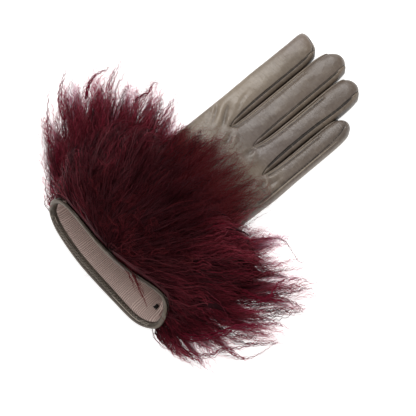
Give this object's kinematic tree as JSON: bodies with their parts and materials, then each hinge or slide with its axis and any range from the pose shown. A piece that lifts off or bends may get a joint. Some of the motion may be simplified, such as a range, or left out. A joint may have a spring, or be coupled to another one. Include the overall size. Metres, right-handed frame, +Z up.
{
  "type": "fur-trimmed leather glove",
  "caption": "Right-hand leather dress glove lying palm down, with a deep cuff of long curly fur, a rolled rim and a knitted lining in its open mouth.",
  "frame": {"origin": "on the surface the glove lies on, at the middle of its box seen from above", "axes": "+X towards the little finger, +Y towards the fingertips, +Z up from the palm to the back of the hand"},
  "size_m": [0.265, 0.261, 0.0542],
  "materials": {
    "leather": "smooth taupe nappa with a soft sheen and fine grain",
    "fur": "long curly lamb fur dyed burgundy",
    "knit": "light greige fine-ribbed knit"
  },
  "bodies": {
    "root": {"trank": "leather", "fourchette_index_middle": "leather", "fourchette_middle_ring": "leather", "fourchette_ring_little": "leather", "thumb": "leather", "rim_binding": "leather", "cuff_facing": "leather", "lining": "knit", "fur_cuff": "fur"}
  },
  "joints": []
}
